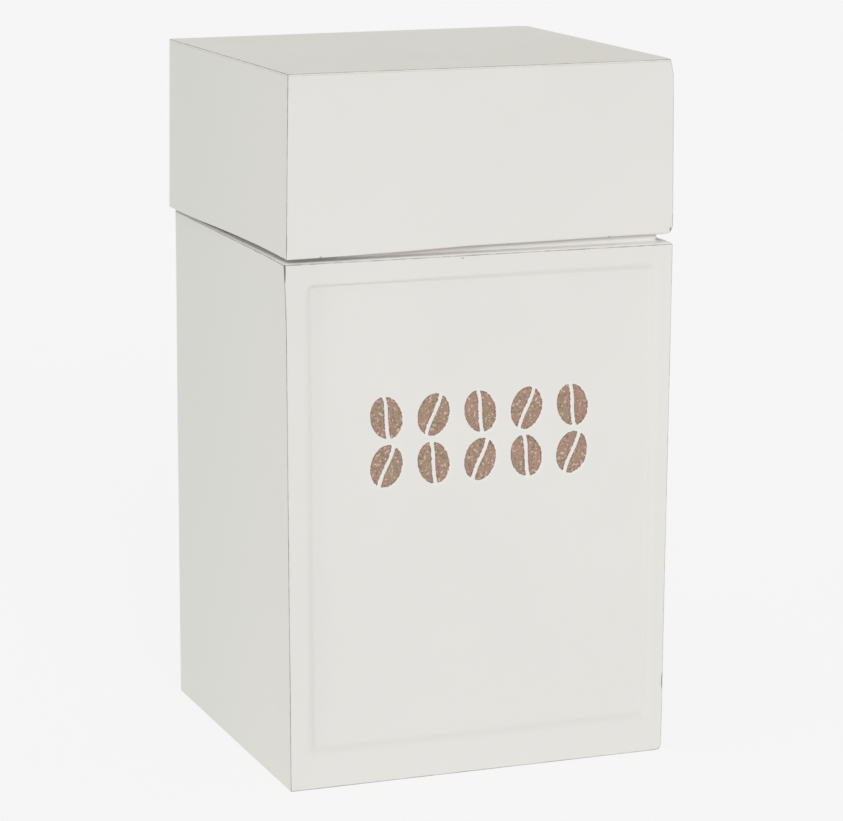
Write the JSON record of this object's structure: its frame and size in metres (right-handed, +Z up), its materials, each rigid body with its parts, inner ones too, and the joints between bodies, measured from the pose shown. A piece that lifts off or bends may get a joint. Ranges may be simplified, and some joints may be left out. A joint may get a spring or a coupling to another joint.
{
  "type": "coffee tin",
  "caption": "Tall square-shouldered sheet-metal tin with a sunk front panel stamped with coffee beans, an inner neck and a deep lift-off lid.",
  "frame": {"origin": "on the table, under the middle of the body", "axes": "+Z up through the lid, -Y towards the front with the sunk panel, +X to the right seen from the front"},
  "size_m": [0.1132, 0.1039, 0.1932],
  "materials": {
    "off_white_paint": "satin, worn through to grey metal along the edges",
    "tinplate": "dull tinned sheet",
    "solder": "dull soft solder"
  },
  "bodies": {
    "body": {"front_plate": "off_white_paint", "body_wrap": "off_white_paint", "base_pan": "tinplate", "neck_sleeve": "off_white_paint", "front_seam_solder": "solder", "base_solder": "solder", "neck_solder": "solder"},
    "lid": {"lid_front_plate": "off_white_paint", "lid_wrap": "off_white_paint", "lid_top_plate": "off_white_paint", "lid_seam_solder": "solder", "lid_top_solder": "solder"}
  },
  "joints": [
    {"name": "lid_lift", "type": "slide", "parent": "body", "child": "lid", "axis": [0, 0, 1], "range_m": [0, 0.06]}
  ]
}
